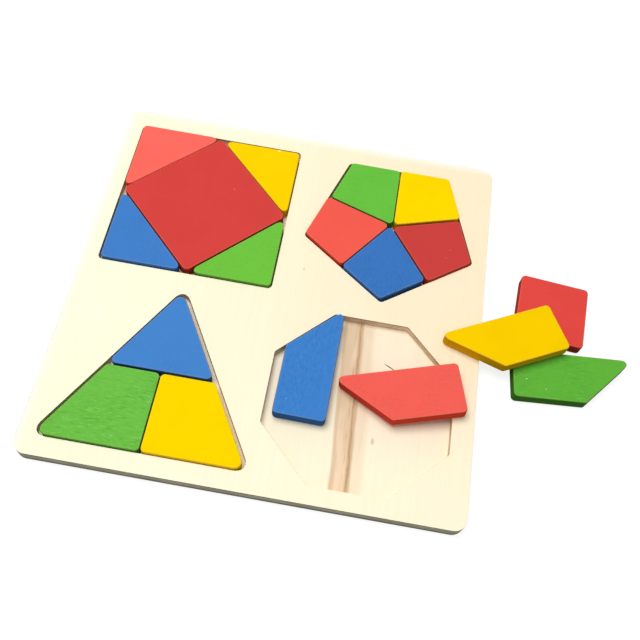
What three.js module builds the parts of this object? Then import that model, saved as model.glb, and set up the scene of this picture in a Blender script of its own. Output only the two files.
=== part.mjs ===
// A wooden shape puzzle: a square board of two plywood layers with four recesses in its face, and
// eighteen painted plywood pieces that fill a square, a pentagon, a triangle and an octagon.
// Sizes are in millimetres. +Z is up, +Y runs to the back, and the origin is the centre of the
// board's underside. Thirteen pieces lie in their recesses. The octagon is being taken apart: one
// piece still lies in its recess, one leans on the rim, and three lie at the board's right side.

import * as THREE from "three";

// The board is a thin backing, glued under a frame that has the four cut-outs.
const backingThickness = 3;
const frameThickness = 6;
const boardCornerRadius = 8;
const edgeRim = 6.7; // the least wood between a cut-out and the board's edge

// The cut-outs, from wall to wall, and where their centres lie on the board.
const cutOutCornerRadius = 3;
const squareSide = 113.1;
const squareCentreX = -62.6;
const squareCentreY = 59.8;
const pentagonSide = 70;
const pentagonCentreX = 64.2;
const pentagonCentreY = 66.7;
const triangleSide = 128.4;
const triangleCornerRadius = 5;
const triangleCentreX = -59.1;
const triangleCentreY = -81;
const triangleLowerHeight = 51.4; // from the triangle's base to the cut under its top piece
const octagonAcross = 112.1; // across its flats
const octagonCentreX = 60.45;
const octagonCentreY = -63.1;
const octagonCentreSide = 45.2; // of the square between the cuts in the octagon's middle

// The pieces are sawn from one sheet, and their edges are sanded soft.
const pieceThickness = 8.5;
const pieceCornerRadius = 2.8;
const trianglePieceCornerRadius = 4.1; // where a piece fills a corner of the triangle
const squareCentreCornerRadius = 4; // the square set's centre is blunter
const pieceEdgeRadius = 0.9;
const wallClearance = 1; // between a seated set and the walls of its recess
const triangleClearance = 1.7; // the triangle's set is looser
const pieceGap = 0.7; // between two neighbours
const restGap = 0.3; // under a piece that rests on another

// How a seated set has slid in its recess, as a share of its clearance.
const squareSlide = new THREE.Vector2(0.05, -0.48);
const pentagonSlide = new THREE.Vector2(0, -0.08);
const triangleSlide = new THREE.Vector2(-0.2, -0.8);

// The octagon's loose pieces. A turn is in degrees, anticlockwise from above.
const blueWingTurn = -90.7;
const blueWingSlide = 7; // along the slanted wall, from its own seat
const coralWingTurn = 15.8;
const coralWingOverhang = 3.9; // the middle of its square end, past the recess's right wall
const coralWingBack = 7.1; // its middle, behind the recess's middle
const yellowWingTurn = 27.6;
const yellowWingReach = 13; // from the board's right edge to its middle
const yellowWingY = -9.5;
const greenWingTurn = 4.7;
const greenWingReach = 60.1;
const greenWingBackEdgeY = -5.6;
const redSquareTurn = -4.7;
const redSquareReach = 45;
const redSquareFrontEdgeY = 1.8;

const cornerSteps = 2; // an arc is drawn in twice as many straight steps
const edgeSteps = 2;

const WOOD = 0xf6e6c4;
const BACKING_WOOD = 0xefdcb8;
const RED = 0xcf3f3b;
const CORAL = 0xf55f56;
const YELLOW = 0xfbd000;
const GREEN = 0x63b83c;
const BLUE = 0x3d7cc9;

const boardThickness = backingThickness + frameThickness;
const octagonHalf = octagonAcross / 2;
const octagonHalfFlat = octagonHalf * Math.tan(Math.PI / 8);
const octagonCentreHalf = octagonCentreSide / 2;

function degrees(angle) {
  return THREE.MathUtils.degToRad(angle);
}

// The corners of a regular shape, anticlockwise from the given angle.
function regularCorners(count, radius, firstAngle) {
  const corners = [];
  for (let i = 0; i < count; i += 1) {
    const angle = firstAngle + (i * 2 * Math.PI) / count;
    corners.push(new THREE.Vector2(radius * Math.cos(angle), radius * Math.sin(angle)));
  }
  return corners;
}

function middle(a, b) {
  return a.clone().add(b).multiplyScalar(0.5);
}

// Moves each edge of an anticlockwise outline inwards by its own distance.
function insetCorners(corners, insets) {
  const count = corners.length;
  const lines = corners.map((corner, i) => {
    const along = corners[(i + 1) % count].clone().sub(corner).normalize();
    const inwards = new THREE.Vector2(-along.y, along.x);
    return { point: corner.clone().addScaledVector(inwards, insets[i]), along };
  });
  return lines.map((line, i) => {
    const before = lines[(i + count - 1) % count];
    const between = line.point.clone().sub(before.point);
    const reach = between.cross(line.along) / before.along.cross(line.along);
    return before.point.clone().addScaledVector(before.along, reach);
  });
}

// Draws an anticlockwise outline with a round corner of the given radius at each point.
function drawRounded(path, corners, radii) {
  const count = corners.length;
  corners.forEach((corner, i) => {
    const toBefore = corners[(i + count - 1) % count].clone().sub(corner).normalize();
    const toNext = corners[(i + 1) % count].clone().sub(corner).normalize();
    const halfAngle = Math.acos(toBefore.dot(toNext)) / 2;
    const inwards = toBefore.clone().add(toNext).normalize();
    const centre = corner.clone().addScaledVector(inwards, radii[i] / Math.sin(halfAngle));
    const middleAngle = inwards.clone().negate().angle();
    const halfTurn = Math.PI / 2 - halfAngle;
    const from = middleAngle - halfTurn;
    const to = middleAngle + halfTurn;
    path.absarc(centre.x, centre.y, radii[i], from, to, false);
  });
  path.closePath();
  return path;
}

function evenRadii(corners, radius) {
  return corners.map(() => radius);
}

function moved(corners, x, y) {
  return corners.map((corner) => new THREE.Vector2(corner.x + x, corner.y + y));
}

// A piece's outline: its edges on the recess's walls come first in its list of corners, and the
// rest stand back from the cuts between it and its neighbours.
function pieceOutline(
  corners,
  wallEdges,
  { clearance = wallClearance, outerRadius = pieceCornerRadius, cutInset = pieceGap / 2 } = {},
) {
  const insets = corners.map((_, i) => (i < wallEdges ? clearance : cutInset));
  const radii = evenRadii(corners, pieceCornerRadius);
  if (wallEdges > 1) radii[1] = outerRadius;
  return { corners: insetCorners(corners, insets), radii };
}

// A flat block with softened edges, standing on z = 0.
function blockGeometry({ corners, radii }) {
  const outline = drawRounded(new THREE.Shape(), corners, radii);
  const geometry = new THREE.ExtrudeGeometry(outline, {
    depth: pieceThickness - 2 * pieceEdgeRadius,
    curveSegments: cornerSteps,
    bevelEnabled: true,
    bevelSegments: edgeSteps,
    bevelSize: pieceEdgeRadius,
    bevelThickness: pieceEdgeRadius,
    bevelOffset: -pieceEdgeRadius,
  });
  return geometry.translate(0, 0, pieceEdgeRadius);
}

function plateGeometry(outline, thickness) {
  return new THREE.ExtrudeGeometry(outline, {
    depth: thickness,
    curveSegments: cornerSteps,
    bevelEnabled: false,
  });
}

function addMesh(parent, name, geometry, colour, roughness) {
  const material = new THREE.MeshStandardMaterial({ color: colour, roughness, metalness: 0 });
  const mesh = new THREE.Mesh(geometry, material);
  mesh.name = name;
  parent.add(mesh);
  return mesh;
}

function addPiece(parent, name, outline, colour) {
  return addMesh(parent, name, blockGeometry(outline), colour, 0.5);
}

// Moves a seated piece out of its place in its set, by shares of the wall clearance.
function nudge(piece, [right, back]) {
  piece.position.set(right * wallClearance, back * wallClearance, 0);
}

const puzzle = new THREE.Group();

// The cut-outs' sharp outlines, each about its own centre.
const squareCorners = regularCorners(4, squareSide / Math.SQRT2, -0.75 * Math.PI);
const pentagonRadius = pentagonSide / (2 * Math.sin(Math.PI / 5));
const pentagonCorners = regularCorners(5, pentagonRadius, -Math.PI / 2);
const triangleRadius = triangleSide / Math.sqrt(3);
const triangleCorners = regularCorners(3, triangleRadius, Math.PI / 2);
const octagonRadius = octagonHalf / Math.cos(Math.PI / 8);
const octagonCorners = regularCorners(8, octagonRadius, Math.PI / 8);

const cutOuts = [
  { corners: moved(squareCorners, squareCentreX, squareCentreY), radius: cutOutCornerRadius },
  { corners: moved(pentagonCorners, pentagonCentreX, pentagonCentreY), radius: cutOutCornerRadius },
  { corners: moved(triangleCorners, triangleCentreX, triangleCentreY), radius: triangleCornerRadius },
  { corners: moved(octagonCorners, octagonCentreX, octagonCentreY), radius: cutOutCornerRadius },
];

// The board is square, and reaches past the furthest corner of its cut-outs.
const furthest = cutOuts
  .flatMap((cutOut) => cutOut.corners)
  .map((corner) => Math.max(Math.abs(corner.x), Math.abs(corner.y)));
const boardHalf = Math.max(...furthest) + edgeRim;
const boardCorners = regularCorners(4, boardHalf * Math.SQRT2, -0.75 * Math.PI);

function boardOutline() {
  return drawRounded(new THREE.Shape(), boardCorners, evenRadii(boardCorners, boardCornerRadius));
}

addMesh(puzzle, "backing_board", plateGeometry(boardOutline(), backingThickness), BACKING_WOOD, 0.6);

const frameOutline = boardOutline();
for (const { corners, radius } of cutOuts) {
  frameOutline.holes.push(drawRounded(new THREE.Path(), corners, evenRadii(corners, radius)));
}
const topFrame = addMesh(puzzle, "top_frame", plateGeometry(frameOutline, frameThickness), WOOD, 0.55);
topFrame.position.z = backingThickness;

// A group on a recess's floor, slid a little from the recess's centre.
function seatedSet(x, y, slide, clearance = wallClearance) {
  const set = new THREE.Group();
  set.position.set(x + slide.x * clearance, y + slide.y * clearance, backingThickness);
  puzzle.add(set);
  return set;
}

// Square: a centre square stands on its corner, and a right-angled triangle fills each corner. The
// centre is sawn a little small on three sides, and the coral triangle large, so those two nearly touch.
const squareSet = seatedSet(squareCentreX, squareCentreY, squareSlide);
const squareMiddles = squareCorners.map((corner, i) => middle(corner, squareCorners[(i + 1) % 4]));
const squareTriangles = [
  { name: "square_corner_blue", colour: BLUE, cutInset: 0.16, shift: [0.75, 0.05] },
  { name: "square_corner_green", colour: GREEN, cutInset: 0.29, shift: [0.2, -0.25] },
  { name: "square_corner_yellow", colour: YELLOW, cutInset: -0.27, shift: [0.3, -0.9] },
  { name: "square_corner_coral", colour: CORAL, cutInset: -1, shift: [-0.05, 0.35] },
];
squareTriangles.forEach(({ name, colour, cutInset, shift }, i) => {
  const corners = [squareMiddles[(i + 3) % 4], squareCorners[i], squareMiddles[i]];
  nudge(addPiece(squareSet, name, pieceOutline(corners, 2, { cutInset }), colour), shift);
});
const squareCentreInsets = [0.2, 1.07, 0.87, 0.99]; // to the green, yellow, coral and blue triangles
const squareCentre = {
  corners: insetCorners(squareMiddles, squareCentreInsets),
  radii: evenRadii(squareMiddles, squareCentreCornerRadius),
};
addPiece(squareSet, "square_centre_red", squareCentre, RED);

// Pentagon: five kites meet at the centre, each with one of the pentagon's corners.
const pentagonSet = seatedSet(pentagonCentreX, pentagonCentreY, pentagonSlide);
const pentagonMiddles = pentagonCorners.map((corner, i) => middle(corner, pentagonCorners[(i + 1) % 5]));
const kites = [
  { name: "pentagon_kite_blue", colour: BLUE, shift: [-1.05, 0.35] },
  { name: "pentagon_kite_red", colour: RED, shift: [-0.1, -0.85] },
  { name: "pentagon_kite_yellow", colour: YELLOW, shift: [0.75, 0.4] },
  { name: "pentagon_kite_green", colour: GREEN, shift: [0.95, 0.1] },
  { name: "pentagon_kite_coral", colour: CORAL, shift: [-0.75, 0.45] },
];
kites.forEach(({ name, colour, shift }, i) => {
  const centre = new THREE.Vector2();
  const corners = [pentagonMiddles[(i + 4) % 5], pentagonCorners[i], pentagonMiddles[i], centre];
  nudge(addPiece(pentagonSet, name, pieceOutline(corners, 2), colour), shift);
});

// Triangle: one cut runs level under the top piece, and one halves what is below it.
const triangleSet = seatedSet(triangleCentreX, triangleCentreY, triangleSlide, triangleClearance);
const [apex, baseLeft, baseRight] = triangleCorners;
const cutShare = triangleLowerHeight / (apex.y - baseLeft.y);
const cutLeft = baseLeft.clone().lerp(apex, cutShare);
const cutRight = baseRight.clone().lerp(apex, cutShare);
const cutMiddle = middle(cutLeft, cutRight);
const baseMiddle = middle(baseLeft, baseRight);
const trianglePieces = [
  { name: "triangle_top_blue", colour: BLUE, corners: [cutRight, apex, cutLeft], shift: [-0.2, 0.6] },
  {
    name: "triangle_left_green",
    colour: GREEN,
    corners: [cutLeft, baseLeft, baseMiddle, cutMiddle],
    shift: [0.45, 0],
  },
  {
    name: "triangle_right_yellow",
    colour: YELLOW,
    corners: [baseMiddle, baseRight, cutRight, cutMiddle],
    shift: [0.4, 0],
  },
];
for (const { name, colour, corners, shift } of trianglePieces) {
  const looseFit = { clearance: triangleClearance, outerRadius: trianglePieceCornerRadius };
  const outline = pieceOutline(corners, 2, looseFit);
  nudge(addPiece(triangleSet, name, outline, colour), shift);
}

// Octagon: four wings turn round a centre square. A wing has a square end and a slanted one. Its
// outline here is that of the front wing, and is then moved to the middle of its own box.
const frontWing = pieceOutline(
  [
    new THREE.Vector2(octagonCentreHalf - octagonHalf - octagonHalfFlat, -octagonCentreHalf),
    new THREE.Vector2(-octagonHalfFlat, -octagonHalf),
    new THREE.Vector2(octagonCentreHalf, -octagonHalf),
    new THREE.Vector2(octagonCentreHalf, -octagonCentreHalf),
  ],
  2,
);
const wingBox = new THREE.Box2().setFromPoints(frontWing.corners);
const wingCentre = wingBox.getCenter(new THREE.Vector2());
const wingSize = wingBox.getSize(new THREE.Vector2());
const wing = { corners: moved(frontWing.corners, -wingCentre.x, -wingCentre.y), radii: frontWing.radii };

// The blue wing belongs at the left. It has slid along the slanted wall towards the back.
const blueWing = addPiece(puzzle, "octagon_wing_blue", wing, BLUE);
const blueWingStep = blueWingSlide / Math.SQRT2;
blueWing.position.set(
  octagonCentreX + wingCentre.y + blueWingStep,
  octagonCentreY - wingCentre.x + blueWingStep,
  backingThickness,
);
blueWing.rotation.z = degrees(blueWingTurn);

// The coral wing leans: its tip stands on the recess's floor, and it rests on the frame where its
// outline first crosses the rim, at the right wall or at the slanted wall behind it.
const coralTurn = degrees(coralWingTurn);
const coralX = octagonHalf + coralWingOverhang - (wingSize.x / 2) * Math.cos(coralTurn);
const wingHalfWidth = wingSize.y / 2;
const reachToRightWall =
  (octagonHalf - coralX - wingHalfWidth * Math.sin(coralTurn)) / Math.cos(coralTurn);
const slantSum = octagonHalf + octagonHalfFlat - coralX - coralWingBack;
const reachToSlantedWall =
  (slantSum - wingHalfWidth * (Math.cos(coralTurn) - Math.sin(coralTurn))) /
  (Math.cos(coralTurn) + Math.sin(coralTurn));
const reachToRim = Math.min(reachToRightWall, reachToSlantedWall);
const tipAngle = Math.PI / 8; // half of the wing's sharp corner
const tipLoss = pieceCornerRadius / Math.tan(tipAngle) - pieceCornerRadius;
const reachToTip = -wingSize.x / 2 + tipLoss;
const coralLean = Math.atan2(frameThickness, reachToRim - reachToTip);
const coralWing = addPiece(puzzle, "octagon_wing_coral", wing, CORAL);
coralWing.position.set(
  octagonCentreX + coralX,
  octagonCentreY + coralWingBack,
  backingThickness + restGap - reachToTip * Math.sin(coralLean),
);
coralWing.rotation.set(0, -coralLean, coralTurn, "ZYX");

// The yellow wing lies across the board's right margin and the two pieces beside the board.
const yellowWing = addPiece(puzzle, "octagon_wing_yellow", wing, YELLOW);
const yellowWingHeight = Math.max(boardThickness, pieceThickness) + restGap;
yellowWing.position.set(boardHalf + yellowWingReach, yellowWingY, yellowWingHeight);
yellowWing.rotation.z = degrees(yellowWingTurn);

// The green wing lies turned over on the table, with its long edge to the back.
const greenWing = addPiece(puzzle, "octagon_wing_green", wing, GREEN);
greenWing.position.set(
  boardHalf + greenWingReach,
  greenWingBackEdgeY - wingHalfWidth,
  pieceThickness,
);
greenWing.rotation.set(0, Math.PI, degrees(greenWingTurn), "ZYX");

// The centre square lies on the table behind the green wing.
const centreCorners = regularCorners(4, octagonCentreHalf * Math.SQRT2, -0.75 * Math.PI);
const redSquare = addPiece(puzzle, "octagon_centre_red", pieceOutline(centreCorners, 0), RED);
const redSquareHalf = octagonCentreHalf - pieceGap / 2;
redSquare.position.set(boardHalf + redSquareReach, redSquareFrontEdgeY + redSquareHalf, 0);
redSquare.rotation.z = degrees(redSquareTurn);

export default puzzle;
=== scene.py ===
import math

import bmesh
import bpy
from mathutils import Color, Euler, Matrix, Vector


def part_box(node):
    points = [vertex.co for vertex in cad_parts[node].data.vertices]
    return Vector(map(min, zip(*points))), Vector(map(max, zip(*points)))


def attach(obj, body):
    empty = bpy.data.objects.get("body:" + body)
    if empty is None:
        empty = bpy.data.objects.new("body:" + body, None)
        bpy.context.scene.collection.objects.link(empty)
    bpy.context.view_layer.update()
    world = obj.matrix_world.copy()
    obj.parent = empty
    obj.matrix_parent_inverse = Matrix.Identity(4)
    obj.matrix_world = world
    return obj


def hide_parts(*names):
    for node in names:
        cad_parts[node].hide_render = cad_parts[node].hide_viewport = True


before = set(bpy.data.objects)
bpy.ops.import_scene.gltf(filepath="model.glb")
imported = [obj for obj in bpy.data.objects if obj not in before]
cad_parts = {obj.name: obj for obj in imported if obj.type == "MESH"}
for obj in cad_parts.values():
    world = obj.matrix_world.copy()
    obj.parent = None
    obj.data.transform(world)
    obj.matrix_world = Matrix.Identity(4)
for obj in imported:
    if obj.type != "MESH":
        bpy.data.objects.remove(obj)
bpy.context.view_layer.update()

# Backing board. A thin square sheet of pale plywood with round corners is glued under the frame.
# Its face shows as the floor of the recesses, where a stripe of brown heartwood crosses the octagon;
# floor and stripe are paler toward the front as painted light. Its sawn edge is grey, partly from
# darker plies and partly as painted shade.
MM = 0.001
board_corner_radius = 8 * MM
board_edge_easing = 0.25 * MM
corner_segments = 10


def blank(name, low, high):
    """A block between two corners, which the piece is then cut from."""
    bpy.ops.object.select_all(action="DESELECT")
    bpy.ops.mesh.primitive_cube_add(size=1, location=(low + high) / 2, scale=high - low)
    piece = bpy.context.object
    piece.name = name
    piece.data.name = name
    bpy.ops.object.transform_apply(location=True, rotation=True, scale=True)
    return piece


def pick_edges(piece, wanted):
    """Selects, in edit mode, the edges for which wanted says yes."""
    bpy.ops.mesh.select_mode(type="EDGE")
    bpy.ops.mesh.select_all(action="DESELECT")
    shape = bmesh.from_edit_mesh(piece.data)
    shape.normal_update()
    for edge in shape.edges:
        if wanted(edge):
            edge.select_set(True)
    bmesh.update_edit_mesh(piece.data)


def runs_along(edge, axis):
    along = (edge.verts[1].co - edge.verts[0].co).normalized()
    return abs(along.dot(axis)) > 0.999


def round_edges(width, segments):
    bpy.ops.mesh.bevel(
        offset=width,
        offset_type="OFFSET",
        segments=segments,
        profile=0.5,
        affect="EDGES",
        clamp_overlap=False,
    )


def is_rim(edge, axis):
    """True where one of the flat faces across the axis meets a side."""
    across = [abs(face.normal.dot(axis)) for face in edge.link_faces]
    return max(across) > 0.99 and min(across) < 0.2


sharpest_smooth_angle = math.radians(35)


def smooth(piece):
    """Shades the round edges smoothly and keeps the flat faces flat."""
    bpy.ops.object.mode_set(mode="OBJECT")
    bpy.ops.object.shade_smooth_by_angle(angle=sharpest_smooth_angle)
    bpy.ops.object.modifier_add(type="WEIGHTED_NORMAL")
    weighted = piece.modifiers[-1]
    weighted.keep_sharp = True
    bpy.ops.object.modifier_apply(modifier=weighted.name)


UP = Vector((0, 0, 1))


def board_layer(name, node):
    """A square sheet with round corners, as large as the solid of its node."""
    piece = blank(name, *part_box(node))
    bpy.ops.object.mode_set(mode="EDIT")
    pick_edges(piece, lambda edge: runs_along(edge, UP))
    round_edges(board_corner_radius, corner_segments)
    return piece


def srgb(red, green, blue):
    """A colour as a screen shows it, from 0 to 255, in the linear values that shaders use."""
    colour = Color((red / 255, green / 255, blue / 255)).from_srgb_to_scene_linear()
    return (*colour, 1)


class Nodes:
    """The node tree of a new material, with its shader at the end."""

    def __init__(self, name):
        self.material = bpy.data.materials.new(name)
        self.material.use_nodes = True
        self.tree = self.material.node_tree
        self.shader = self.tree.nodes["Principled BSDF"]
        self.place = self.add("ShaderNodeTexCoord")

    def add(self, kind, settings=None, **inputs):
        """Adds a node. An input is a value, or the output of another node."""
        node = self.tree.nodes.new(kind)
        for key, value in (settings or {}).items():
            setattr(node, key, value)
        for key, value in inputs.items():
            self.set(node.inputs[key], value)
        return node

    def set(self, socket, value):
        if isinstance(value, bpy.types.NodeSocket):
            self.tree.links.new(value, socket)
        else:
            socket.default_value = value

    def math(self, operation, first, second=0.5):
        node = self.add("ShaderNodeMath", {"operation": operation})
        self.set(node.inputs[0], first)
        self.set(node.inputs[1], second)
        return node.outputs[0]

    def mix(self, share, first, second):
        node = self.add("ShaderNodeMix", {"data_type": "RGBA"})
        self.set(node.inputs["Factor"], share)
        self.set(node.inputs["A"], first)
        self.set(node.inputs["B"], second)
        return node.outputs["Result"]

    def between(self, value, low, high, to_low=0.0, to_high=1.0):
        """Where a value lies between two limits, eased at both ends."""
        node = self.add("ShaderNodeMapRange", {"interpolation_type": "SMOOTHSTEP"}, Value=value)
        node.inputs["From Min"].default_value = low
        node.inputs["From Max"].default_value = high
        node.inputs["To Min"].default_value = to_low
        node.inputs["To Max"].default_value = to_high
        return node.outputs["Result"]

    def coordinate(self, axis):
        """One of the object coordinates, by its letter."""
        split = self.add("ShaderNodeSeparateXYZ", Vector=self.place.outputs["Object"])
        return split.outputs[axis]

    def mapped(self, turn, scale, centre=(0, 0)):
        """Object coordinates from a centre on the face, turned, and measured in steps of the scale."""
        place = self.place.outputs["Object"]
        node = self.add("ShaderNodeMapping", {"vector_type": "TEXTURE"}, Vector=place)
        node.inputs["Location"].default_value = (*centre, 0)
        node.inputs["Rotation"].default_value = (0, 0, turn)
        node.inputs["Scale"].default_value = (*scale, 1)
        return node.outputs["Vector"]

    def stretched(self, turn, stretch):
        """Object coordinates with the grain along X, squeezed along the grain."""
        return self.mapped(turn, (stretch, 1))

    def noise(self, vector, per_metre, detail=2.0, roughness=0.5):
        node = self.add("ShaderNodeTexNoise", Vector=vector, Scale=per_metre)
        node.inputs["Detail"].default_value = detail
        node.inputs["Roughness"].default_value = roughness
        return node.outputs["Fac"]

    def level(self):
        """How level the surface is: 1 on a face, 0 on a side."""
        split = self.add("ShaderNodeSeparateXYZ", Vector=self.place.outputs["Normal"])
        return self.math("ABSOLUTE", split.outputs["Z"])

    def mark(self, centre, half_length, half_width, turn=0.0):
        """An oval mark on a face, seen from above: 1 in its middle and 0 outside it."""
        from_centre = self.mapped(turn, (half_length, half_width), centre)
        reach = self.add("ShaderNodeVectorMath", {"operation": "LENGTH"}, Vector=from_centre)
        return self.between(reach.outputs["Value"], 0.4, 1.0, 1.0, 0.0)


WHOLE_TURN = 2 * math.pi
GRAIN_FRONT_TO_BACK = WHOLE_TURN / 4


def veneer(nodes, pale, warm, drift):
    """The face of pale plywood: its tone drifts across the sheet, with faint streaks and flecks.
    On the backing, the drift is painted light that pales the floor toward the front.
    """
    streak_colour = srgb(222, 192, 150)
    cloud_colour = srgb(252, 232, 196)
    fleck_colour = srgb(206, 170, 126)
    streaks = nodes.noise(nodes.stretched(GRAIN_FRONT_TO_BACK, 30), 420, 4, 0.6)
    flecks = nodes.noise(nodes.stretched(GRAIN_FRONT_TO_BACK, 9), 900)
    clouds = nodes.noise(nodes.stretched(GRAIN_FRONT_TO_BACK, 3), 28)
    tone = nodes.mix(drift, pale, warm)
    tone = nodes.mix(nodes.between(streaks, 0.35, 0.75, 0.0, 0.07), tone, streak_colour)
    tone = nodes.mix(nodes.between(clouds, 0.4, 0.7, 0.0, 0.12), tone, cloud_colour)
    tone = nodes.mix(nodes.between(flecks, 0.69, 0.8, 0.0, 0.25), tone, fleck_colour)
    return tone, streaks


def sawn_edge(nodes, top, light, dark):
    """The sawn edge of plywood: pale with darker blotches, and dark along its upper edge."""
    below_top = nodes.math("SUBTRACT", top, nodes.coordinate("Z"))
    blotches = nodes.noise(nodes.stretched(0.0, 4), 260, 3, 0.6)
    tone = nodes.mix(nodes.between(blotches, 0.35, 0.7, 0.0, 0.5), light, dark)
    return nodes.mix(nodes.between(below_top, 0.5 * MM, 1.8 * MM, 0.8, 0.0), tone, dark)


def wooden_surface(nodes, face, edge, fibres):
    """Joins a veneered face to its sawn edge, and gives both a fine grain."""
    is_face = nodes.between(nodes.level(), 0.15, 0.4)
    nodes.set(nodes.shader.inputs["Base Color"], nodes.mix(is_face, edge, face))
    bump = nodes.add("ShaderNodeBump", Height=fibres, Strength=0.08, Distance=0.2 * MM)
    nodes.set(nodes.shader.inputs["Normal"], bump.outputs["Normal"])
    nodes.shader.inputs["Roughness"].default_value = 0.62
    nodes.shader.inputs["Specular IOR Level"].default_value = 0.1
    return nodes.material


stripe_middle = 54.6 * MM
stripe_slant = 0.05
stripe_left = 10.6 * MM
stripe_brown = srgb(226, 199, 165)
stripe_brown_lit_in_front = srgb(246, 216, 181)
stripe_streaks = srgb(214, 180, 142)
stripe_patches = srgb(246, 220, 188)
stripe_left_edge = srgb(222, 193, 157)
stripe_soft_line = srgb(206, 171, 133)
stripe_fine_line = srgb(172, 134, 98)


def heartwood(nodes, face):
    """The brown stripe on the octagon's floor: clear at the left, fading right, with dark lines, and
    paler toward the front as painted light.
    """
    along = nodes.coordinate("Y")
    slant = nodes.math("MULTIPLY", along, stripe_slant)
    straight = nodes.math("SUBTRACT", nodes.math("ADD", nodes.coordinate("X"), slant), stripe_middle)

    def wander(stretch, per_metre, reach):
        noise = nodes.noise(nodes.stretched(GRAIN_FRONT_TO_BACK, stretch), per_metre)
        sway = nodes.math("MULTIPLY", nodes.math("SUBTRACT", noise, 0.5), reach)
        return nodes.math("ADD", straight, sway)

    def line_at(across, middle, half_width, strength):
        reach = nodes.math("ABSOLUTE", nodes.math("SUBTRACT", across, middle))
        return nodes.between(reach, 0.3 * half_width, half_width, strength, 0.0)

    across = wander(3, 90, 2.5 * MM)
    left = nodes.between(across, -stripe_left - 1.2 * MM, -stripe_left + 0.8 * MM)
    near_line = nodes.between(across, 0.3 * MM, 2.8 * MM, 0.5, 0.0)
    far_fade = nodes.between(across, 6 * MM, 11 * MM, 0.45, 0.0)
    # Painted light: the stripe's brown pales toward the front of the recess.
    to_front = nodes.between(along, -112 * MM, -55 * MM, 1.0, 0.0)
    streaks = nodes.noise(nodes.stretched(GRAIN_FRONT_TO_BACK, 14), 420, 3, 0.6)
    patches = nodes.noise(nodes.stretched(GRAIN_FRONT_TO_BACK, 4), 160)
    brown = nodes.mix(to_front, stripe_brown, stripe_brown_lit_in_front)
    brown = nodes.mix(nodes.between(streaks, 0.4, 0.7, 0.0, 0.5), brown, stripe_streaks)
    brown = nodes.mix(nodes.between(patches, 0.5, 0.75, 0.0, 0.6), brown, stripe_patches)
    share = nodes.math("MULTIPLY", left, nodes.math("ADD", near_line, far_fade))
    face = nodes.mix(share, face, brown)
    left_edge = line_at(across, -9.6 * MM, 1.5 * MM, 0.7)
    face = nodes.mix(left_edge, face, stripe_left_edge)
    soft_line = line_at(across, 0.0, 2.4 * MM, 0.7)
    face = nodes.mix(soft_line, face, stripe_soft_line)
    ragged = wander(2.5, 240, 3.2 * MM)
    fine_line = line_at(ragged, -0.4 * MM, 0.7 * MM, 0.55)
    face = nodes.mix(fine_line, face, stripe_fine_line)
    broken = nodes.between(patches, 0.4, 0.55, 1.0, 0.0)
    second_line = nodes.math("MULTIPLY", line_at(ragged, -2.8 * MM, 0.6 * MM, 0.45), broken)
    return nodes.mix(second_line, face, stripe_fine_line)


backing = board_layer("backing_sheet", "backing_board")
pick_edges(backing, lambda edge: is_rim(edge, UP))
round_edges(board_edge_easing, 2)
smooth(backing)

floor_pale = srgb(254, 248, 219)
floor_warm = srgb(253, 239, 212)
# Painted shade: the backing's sawn edge is grey, partly from darker plies and partly as shade.
backing_edge_shaded_light = srgb(168, 164, 155)
backing_edge_shaded_dark = srgb(117, 111, 104)
backing_nodes = Nodes("backing_plywood")
# Painted light: the recess floor is paler toward the front of the recesses.
floor_painted_light_fade = backing_nodes.between(backing_nodes.coordinate("Y"), -112 * MM, -60 * MM)
backing_face, backing_fibres = veneer(backing_nodes, floor_pale, floor_warm, floor_painted_light_fade)
backing_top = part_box("backing_board")[1].z
backing_edge = sawn_edge(backing_nodes, backing_top, backing_edge_shaded_light, backing_edge_shaded_dark)
backing_face = heartwood(backing_nodes, backing_face)
scratch_place = (76 * MM, -34.1 * MM)
scratch = backing_nodes.mark(scratch_place, 5.2 * MM, 0.5 * MM, math.radians(-25.8))
backing_face = backing_nodes.mix(scratch, backing_face, srgb(96, 84, 70))
knot_place = (71.5 * MM, -84.1 * MM)
knot = backing_nodes.mark(knot_place, 3 * MM, 1.5 * MM, GRAIN_FRONT_TO_BACK)
backing_face = backing_nodes.mix(knot, backing_face, srgb(228, 208, 174))
backing.data.materials.append(wooden_surface(backing_nodes, backing_face, backing_edge, backing_fibres))
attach(backing, "board")
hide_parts("backing_board")

# Top frame. A thicker plywood sheet of the same outline has the four shapes cut out of it, and is
# glued on the backing. Its face is pale and sanded, washing out at its left and back margins as painted
# light. The walls of the cuts are light brown with darker blotches and a dark top edge, and the outer
# edge is greyer as painted shade.
cut_corner_radius = 3 * MM
square_side = 113.1 * MM
pentagon_side = 70 * MM
triangle_side = 128.4 * MM
triangle_corner_radius = 5 * MM
octagon_across = 112.1 * MM
cut_outs = [
    {
        "sides": 4,
        "radius": square_side / math.sqrt(2),
        "turn": WHOLE_TURN / 8,
        "centre": (-62.6 * MM, 59.8 * MM),
        "corner": cut_corner_radius,
    },
    {
        "sides": 5,
        "radius": pentagon_side / (2 * math.sin(math.pi / 5)),
        "turn": WHOLE_TURN / 2,
        "centre": (64.2 * MM, 66.7 * MM),
        "corner": cut_corner_radius,
    },
    {
        "sides": 3,
        "radius": triangle_side / math.sqrt(3),
        "turn": 0,
        "centre": (-59.1 * MM, -81 * MM),
        "corner": triangle_corner_radius,
    },
    {
        "sides": 8,
        "radius": octagon_across / (2 * math.cos(math.pi / 8)),
        "turn": WHOLE_TURN / 16,
        "centre": (60.45 * MM, -63.1 * MM),
        "corner": cut_corner_radius,
    },
]


def corner_width(radius, half_angle):
    """How far from a corner its rounding starts, for the corner to be cut back as an arc would."""
    return radius * (1 / math.sin(half_angle) - 1) / ((2 - math.sqrt(2)) * math.cos(half_angle))


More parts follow.
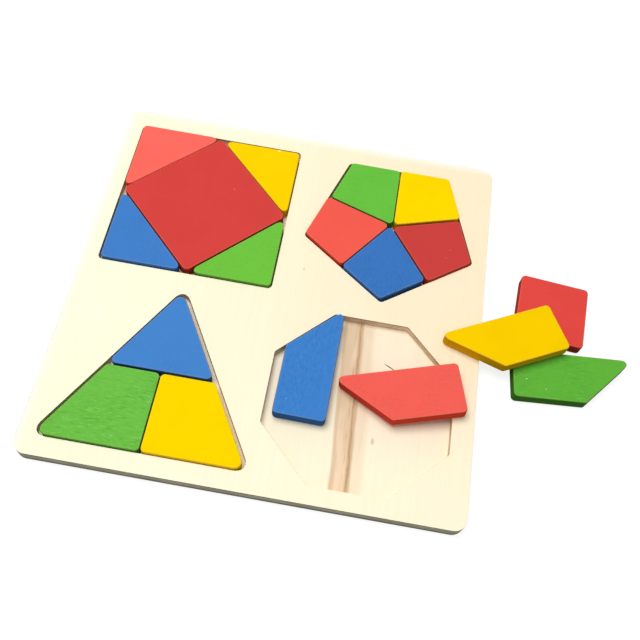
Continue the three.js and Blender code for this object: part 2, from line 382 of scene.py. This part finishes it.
def cut_through(sheet, sides, radius, turn, centre, corner):
    """Cuts a regular shape with round corners right through a sheet."""
    low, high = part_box("top_frame")
    middle = (*centre, (low.z + high.z) / 2)
    bpy.ops.object.select_all(action="DESELECT")
    bpy.ops.mesh.primitive_cylinder_add(
        vertices=sides, radius=radius, depth=2 * (high.z - low.z), location=middle, rotation=(0, 0, turn)
    )
    cutter = bpy.context.object
    bpy.ops.object.transform_apply(location=True, rotation=True, scale=True)
    bpy.ops.object.mode_set(mode="EDIT")
    pick_edges(cutter, lambda edge: runs_along(edge, UP))
    half_angle = math.pi * (sides - 2) / sides / 2
    round_edges(corner_width(corner, half_angle), corner_segments)
    bpy.ops.object.mode_set(mode="OBJECT")
    bpy.context.view_layer.objects.active = sheet
    bpy.ops.object.modifier_add(type="BOOLEAN")
    cut = sheet.modifiers[-1]
    cut.operation = "DIFFERENCE"
    cut.object = cutter
    bpy.ops.object.modifier_apply(modifier=cut.name)
    bpy.data.objects.remove(cutter)


top_frame = board_layer("cut_out_frame", "top_frame")
bpy.ops.object.mode_set(mode="OBJECT")
for cut_out in cut_outs:
    cut_through(top_frame, **cut_out)
bpy.ops.object.select_all(action="DESELECT")
top_frame.select_set(True)
bpy.context.view_layer.objects.active = top_frame
bpy.ops.object.mode_set(mode="EDIT")
pick_edges(top_frame, lambda edge: is_rim(edge, UP))
round_edges(board_edge_easing, 2)
smooth(top_frame)

board_half = 130 * MM
pale_width = 7 * MM
pale_share = 0.6
frame_pale = srgb(254, 251, 222)
frame_warm = srgb(253, 236, 203)
frame_nodes = Nodes("frame_plywood")
across_board = frame_nodes.coordinate("X")
along_board = frame_nodes.coordinate("Y")
to_right = frame_nodes.between(across_board, -board_half, board_half)
to_back = frame_nodes.between(along_board, -board_half, 0.0, 0.25, 1.0)
tone_drift = frame_nodes.math("MULTIPLY", to_right, to_back)
frame_face, frame_fibres = veneer(frame_nodes, frame_pale, frame_warm, tone_drift)
# Painted light: the face washes out to near white along its left and back margins.
pale_left = frame_nodes.between(across_board, -board_half, -board_half + pale_width, pale_share, 0.0)
pale_back = frame_nodes.between(along_board, board_half - pale_width, board_half, 0.0, pale_share)
painted_light_margin = frame_nodes.math("MAXIMUM", pale_left, pale_back)
frame_face = frame_nodes.mix(painted_light_margin, frame_face, srgb(255, 254, 244))
fleck_place = (11.9 * MM, 22 * MM)
fleck = frame_nodes.mark(fleck_place, 1 * MM, 0.5 * MM, GRAIN_FRONT_TO_BACK)
frame_face = frame_nodes.mix(fleck, frame_face, srgb(200, 178, 140))
frame_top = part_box("top_frame")[1].z
cut_wall = sawn_edge(frame_nodes, frame_top, srgb(232, 210, 178), srgb(172, 152, 120))
# Painted shade: the board's outer edge is greyer than the walls of the cuts.
shaded_outer_edge = sawn_edge(frame_nodes, frame_top, srgb(217, 212, 184), srgb(161, 154, 125))
off_middle = frame_nodes.math(
    "MAXIMUM", frame_nodes.math("ABSOLUTE", across_board), frame_nodes.math("ABSOLUTE", along_board)
)
is_outer = frame_nodes.between(off_middle, board_half - 4 * MM, board_half - 3 * MM)
frame_edge = frame_nodes.mix(is_outer, cut_wall, shaded_outer_edge)
top_frame.data.materials.append(wooden_surface(frame_nodes, frame_face, frame_edge, frame_fibres))
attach(top_frame, "board")
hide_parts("top_frame")

# Square set. A square that stands on its corner and four right-angled triangles are sawn from thick
# plywood, sanded round at their edges and painted all over. The wood's grain shows in the paint, and
# their sawn sides are darker, partly as painted shade. They lie loose in their recess.
piece_corner_radius = 2.8 * MM
piece_edge_radius = 0.9 * MM
piece_edge_segments = 4
saw_margin = 12 * MM


def flat_sides(node):
    """A piece's flat faces and sawn sides, each with a point and its normal, and its upright axis."""
    sides = []
    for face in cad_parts[node].data.polygons:
        alike = [side for side in sides if side["normal"].dot(face.normal) > 0.9995]
        if alike:
            alike[0]["area"] += face.area
        else:
            sides.append({"point": face.center.copy(), "normal": face.normal.copy(), "area": face.area})
    axis = max(sides, key=lambda side: side["area"])["normal"]
    least_area = 40 * MM * MM

    def is_flat(side):
        upright = abs(side["normal"].dot(axis))
        return side["area"] > least_area and (upright > 0.99 or upright < 0.05)

    return [side for side in sides if is_flat(side)], axis


least_corner_angle = math.radians(40)


def is_sharp_corner(edge, axis):
    return runs_along(edge, axis) and edge.calc_face_angle() > least_corner_angle


def is_near(edge, place):
    return ((edge.verts[0].co + edge.verts[1].co) / 2 - place).length < 0.5 * MM


def sawn_piece(node, corner_radius=piece_corner_radius, wide_corner=None, wide_radius=None):
    """Saws a piece from a blank along its solid's flat sides, and rounds its corners and edges.

    The corner nearest to wide_corner has a radius of its own.
    """
    low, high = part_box(node)
    margin = Vector((saw_margin, saw_margin, saw_margin))
    piece = blank("painted_" + node, low - margin, high + margin)
    sides, axis = flat_sides(node)
    bpy.ops.object.mode_set(mode="EDIT")
    for side in sides:
        bpy.ops.mesh.select_all(action="SELECT")
        bpy.ops.mesh.bisect(
            plane_co=side["point"], plane_no=side["normal"], use_fill=True, clear_outer=True
        )
    shape = bmesh.from_edit_mesh(piece.data)
    corners = [edge for edge in shape.edges if is_sharp_corner(edge, axis)]
    places = [(edge.verts[0].co + edge.verts[1].co) / 2 for edge in corners]
    half_angles = [(math.pi - edge.calc_face_angle()) / 2 for edge in corners]
    wide_place = None
    if wide_corner is not None:
        wide_place = min(places, key=lambda place: (place - wide_corner).length)
    for place, half_angle in zip(places, half_angles):
        radius = wide_radius if place is wide_place else corner_radius
        pick_edges(piece, lambda edge: is_sharp_corner(edge, axis) and is_near(edge, place))
        round_edges(corner_width(radius, half_angle), corner_segments)
    pick_edges(piece, lambda edge: is_rim(edge, axis))
    round_edges(piece_edge_radius, piece_edge_segments)
    smooth(piece)
    return piece


# The pale wood colour that the painted highlight on the pieces' rims is mixed toward.
rim_highlight_tint = srgb(222, 190, 130)


def paint(name, colour, sawn, grain_turn, grain, chips):
    """Dull paint on plywood: strokes along the grain, a painted highlight on the rounded rims, sawn sides
    darker partly as painted shade, and chips.
    """
    nodes = Nodes(name)
    strokes = nodes.noise(nodes.stretched(grain_turn, 2 + 2.5 * grain), 1100, 3, 0.65)
    clouds = nodes.noise(nodes.place.outputs["Object"], 45)
    dark = tuple(0.7 * part for part in colour[:3]) + (1,)
    pale = tuple(1.14 * part + 0.06 * grain * (1 - part) for part in colour[:3]) + (1,)
    tone = nodes.mix(nodes.between(clouds, 0.35, 0.7, 0.0, 0.12), colour, dark)
    patches = nodes.between(clouds, 0.35, 0.65, 0.4, 1.0)
    dark_strokes = nodes.math("MULTIPLY", nodes.between(strokes, 0.54, 0.68, 0.0, grain), patches)
    pale_strokes = nodes.math("MULTIPLY", nodes.between(strokes, 0.32, 0.44, grain, 0.0), patches)
    tone = nodes.mix(dark_strokes, tone, dark)
    tone = nodes.mix(pale_strokes, tone, pale)
    level = nodes.level()
    # Painted highlight: the rounded rims just off the flat face are lightened toward pale wood.
    above_side = nodes.between(level, 0.6, 0.84)
    beside_face = nodes.between(level, 0.96, 0.9995, 0.13, 0.0)
    tone = nodes.mix(nodes.math("MULTIPLY", above_side, beside_face), tone, rim_highlight_tint)
    chipped = tuple(min(1.0, 3 * part + 0.3) for part in colour[:3]) + (1,)
    for place, radius, paleness in chips:
        chip = nodes.mark(place, radius, radius)
        tone = nodes.mix(nodes.math("MULTIPLY", chip, paleness), tone, chipped)
    side = nodes.mix(nodes.between(strokes, 0.3, 0.7, 0.0, 0.3), sawn, dark)
    is_face = nodes.between(level, 0.35, 0.75)
    nodes.set(nodes.shader.inputs["Base Color"], nodes.mix(is_face, side, tone))
    bump = nodes.add("ShaderNodeBump", Height=strokes, Strength=0.6 * grain, Distance=0.25 * MM)
    nodes.set(nodes.shader.inputs["Normal"], bump.outputs["Normal"])
    nodes.shader.inputs["Roughness"].default_value = 0.5
    nodes.shader.inputs["Specular IOR Level"].default_value = 0.0
    return nodes.material


GRAIN_ACROSS = 0.0

# How strongly the grain shows through the paint.
SMOOTH = 0.01
FAINT = 0.1
PLAIN = 0.3
ROUGH = 0.58
DENTED = 1.05

# The paint on the sawn sides of seated pieces: darker than the faces, partly from paint soaked into
# the end grain and partly as painted shade, and lighter than the loose wings' sides as painted light.
red_side = srgb(176, 56, 47)
coral_side = srgb(226, 73, 56)
yellow_side = srgb(240, 184, 12)
green_side = srgb(80, 138, 55)
blue_side = srgb(58, 105, 172)


def painted_piece(node, slot, colour, sawn, grain_turn, grain, chips=(), **corners):
    piece = sawn_piece(node, **corners)
    piece.data.materials.append(paint("paint_" + node, colour, sawn, grain_turn, grain, chips))
    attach(piece, node)
    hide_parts(node)


square_centre_corner_radius = 4 * MM
speck_radius = 0.6 * MM
worn_edge_radius = 1.3 * MM

# A chip in the paint is its place on the face, its radius and how pale it is.
red_chip = ((-44.9 * MM, 73.4 * MM), speck_radius, 0.35)
back_edge_chip = ((-21.3 * MM, 113 * MM), worn_edge_radius, 0.8)
painted_piece("square_corner_coral", "coral_paint", srgb(251, 107, 95), coral_side, GRAIN_ACROSS, FAINT)
painted_piece(
    "square_corner_yellow",
    "yellow_paint",
    srgb(250, 209, 4),
    yellow_side,
    GRAIN_ACROSS,
    SMOOTH,
    chips=[back_edge_chip],
)
painted_piece("square_corner_green", "green_paint", srgb(111, 194, 65), green_side, GRAIN_ACROSS, PLAIN)
painted_piece("square_corner_blue", "blue_paint", srgb(67, 126, 199), blue_side, GRAIN_FRONT_TO_BACK, PLAIN)
painted_piece(
    "square_centre_red",
    "red_paint",
    srgb(213, 69, 65),
    red_side,
    GRAIN_ACROSS,
    SMOOTH,
    chips=[red_chip],
    corner_radius=square_centre_corner_radius,
)

# Pentagon set. Five like kites are sawn from the same sheet, and each has its own paint. They meet at
# the pentagon's centre and lie loose in their recess.
kite_chips = [
    ((104.9 * MM, 55 * MM), speck_radius, 0.2),
    ((102.6 * MM, 48.3 * MM), speck_radius, 0.2),
]
painted_piece("pentagon_kite_blue", "blue_paint", srgb(59, 117, 189), blue_side, GRAIN_FRONT_TO_BACK, ROUGH)
painted_piece("pentagon_kite_red", "red_paint", srgb(201, 66, 62), red_side, GRAIN_ACROSS, FAINT, kite_chips)
painted_piece("pentagon_kite_yellow", "yellow_paint", srgb(252, 215, 2), yellow_side, GRAIN_ACROSS, SMOOTH)
painted_piece("pentagon_kite_green", "green_paint", srgb(105, 192, 66), green_side, GRAIN_ACROSS, PLAIN)
painted_piece("pentagon_kite_coral", "coral_paint", srgb(242, 93, 79), coral_side, GRAIN_ACROSS, FAINT)

# Triangle set. A small triangle lies behind two trapezoids, sawn and painted like the other pieces.
# The corner that each puts in a corner of its recess is rounder than the rest.
triangle_wide_radius = 4.1 * MM
far_away = 0.2
triangle_middle = -59.1 * MM
painted_piece(
    "triangle_top_blue",
    "blue_paint",
    srgb(70, 132, 202),
    blue_side,
    GRAIN_FRONT_TO_BACK,
    PLAIN,
    wide_corner=Vector((triangle_middle, far_away, 0)),
    wide_radius=triangle_wide_radius,
)
painted_piece(
    "triangle_left_green",
    "green_paint",
    srgb(109, 189, 71),
    green_side,
    GRAIN_ACROSS,
    DENTED,
    wide_corner=Vector((-far_away, -far_away, 0)),
    wide_radius=triangle_wide_radius,
)
painted_piece(
    "triangle_right_yellow",
    "yellow_paint",
    srgb(252, 214, 2),
    yellow_side,
    GRAIN_ACROSS,
    SMOOTH,
    wide_corner=Vector((far_away, -far_away, 0)),
    wide_radius=triangle_wide_radius,
)

# Octagon set. Four like wings, each with a square end and a slanted one, turn round a centre square.
# They are sawn and painted like the rest, and lie loose: one in the recess, one leaning on its rim,
# one across the board's margin, and a wing and the square on the table.
# Painted shade: the loose wings' sides are darker than those of seated pieces.
coral_wing_side = srgb(208, 64, 47)  # a wing's sides are darker than those of seated pieces
yellow_wing_side = srgb(222, 168, 8)
green_wing_side = srgb(76, 132, 52)
blue_wing_side = srgb(50, 92, 154)
# Painted light: the loose square's sides are paler than the wings'.
loose_red_side = srgb(205, 72, 64)  # the loose square's sides are paler
coral_turn = math.radians(15.8)
yellow_turn = math.radians(27.6)
green_turn = math.radians(4.7)
blue_wing_chips = [((16.8 * MM, -70.3 * MM), speck_radius, 0.2)]
green_wing_chips = [
    ((160.2 * MM, -27.9 * MM), speck_radius, 0.65),
    ((172.6 * MM, -32.7 * MM), speck_radius, 0.45),
]
painted_piece(
    "octagon_wing_blue",
    "blue_paint",
    srgb(64, 129, 203),
    blue_wing_side,
    GRAIN_FRONT_TO_BACK,
    ROUGH,
    blue_wing_chips,
)
painted_piece("octagon_wing_coral", "coral_paint", srgb(243, 97, 86), coral_wing_side, coral_turn, PLAIN)
painted_piece("octagon_wing_yellow", "yellow_paint", srgb(248, 204, 2), yellow_wing_side, yellow_turn, SMOOTH)
painted_piece(
    "octagon_wing_green",
    "green_paint",
    srgb(97, 179, 60),
    green_wing_side,
    green_turn,
    ROUGH,
    green_wing_chips,
)
painted_piece("octagon_centre_red", "red_paint", srgb(225, 75, 68), loose_red_side, GRAIN_ACROSS, FAINT)

# Table, light and camera. The puzzle lies on a plain white table under a broad soft lamp, and is seen
# from in front and above, with the camera tilted a little. The table glows where it is seen, to look
# white without lighting the puzzle.
table_size = 6
table_drop = 0.1 * MM
table_grey = (0.27, 0.27, 0.27, 1)
white = (1, 1, 1, 1)
bpy.ops.object.select_all(action="DESELECT")
bpy.ops.mesh.primitive_plane_add(size=table_size, location=(0, 0, -table_drop))
table = bpy.context.object
table.name = "table"
bpy.ops.object.transform_apply(location=True, rotation=True, scale=True)
table_nodes = Nodes("white_table")
table_nodes.shader.inputs["Base Color"].default_value = table_grey
table_nodes.shader.inputs["Roughness"].default_value = 0.9
table_nodes.shader.inputs["Specular IOR Level"].default_value = 0.0
table_nodes.shader.inputs["Emission Color"].default_value = white
rays = table_nodes.add("ShaderNodeLightPath")
seen = table_nodes.math("MAXIMUM", rays.outputs["Is Camera Ray"], rays.outputs["Is Glossy Ray"])
seen = table_nodes.math("MAXIMUM", seen, rays.outputs["Is Transmission Ray"])
on_table = table_nodes.place.outputs["Object"]
off_centre = table_nodes.add("ShaderNodeVectorMath", {"operation": "LENGTH"}, Vector=on_table)
whiteness = table_nodes.between(off_centre.outputs["Value"], 0.35, 0.9, 0.83, 1.0)
glow = table_nodes.math("MULTIPLY", seen, whiteness)
table_nodes.set(table_nodes.shader.inputs["Emission Strength"], glow)
table.data.materials.append(table_nodes.material)

room_light = 0.35
room_brightness_seen = 1.0
world = bpy.data.worlds.new("white_room")
bpy.context.scene.world = world
world.use_nodes = True
room = world.node_tree
background = room.nodes["Background"]
background.inputs["Color"].default_value = white
room_rays = room.nodes.new("ShaderNodeLightPath")
strength = room.nodes.new("ShaderNodeMapRange")
room.links.new(room_rays.outputs["Is Camera Ray"], strength.inputs["Value"])
strength.inputs["To Min"].default_value = room_light
strength.inputs["To Max"].default_value = room_brightness_seen
room.links.new(strength.outputs["Result"], background.inputs["Strength"])

lamp_width = 1.7
lamp_watts = 47.8
lamp_place = Vector((-0.5, 0.3, 2.36))
lamp_aim = Vector((0.03, 0, 0))
lamp_data = bpy.data.lights.new("soft_lamp", "AREA")
lamp_data.shape = "DISK"
lamp_data.size = lamp_width
lamp_data.energy = lamp_watts
lamp = bpy.data.objects.new("soft_lamp", lamp_data)
bpy.context.scene.collection.objects.link(lamp)
lamp.location = lamp_place
lamp.rotation_euler = (lamp_aim - lamp_place).to_track_quat("-Z", "Y").to_euler()

camera_azimuth = math.radians(1.415)
camera_elevation = math.radians(61.415)
camera_roll = math.radians(8.834)
camera_distance = 513.7 * MM
camera_target = Vector((28.0 * MM, -8.1 * MM, 0))
photo_width = 640
focal_length_in_pixels = 802
sensor_width = 36
camera_data = bpy.data.cameras.new("camera")
camera_data.sensor_width = sensor_width
camera_data.lens = focal_length_in_pixels * sensor_width / photo_width
camera_data.clip_start = 0.01
camera = bpy.data.objects.new("camera", camera_data)
bpy.context.scene.collection.objects.link(camera)
facing = Euler((math.pi / 2 - camera_elevation, 0, camera_azimuth)).to_matrix()
turned = facing @ Matrix.Rotation(camera_roll, 3, "Z")
camera.rotation_euler = turned.to_euler()
camera.location = camera_target + camera_distance * facing.col[2]
bpy.context.scene.camera = camera
bpy.context.scene.view_settings.view_transform = "Standard"
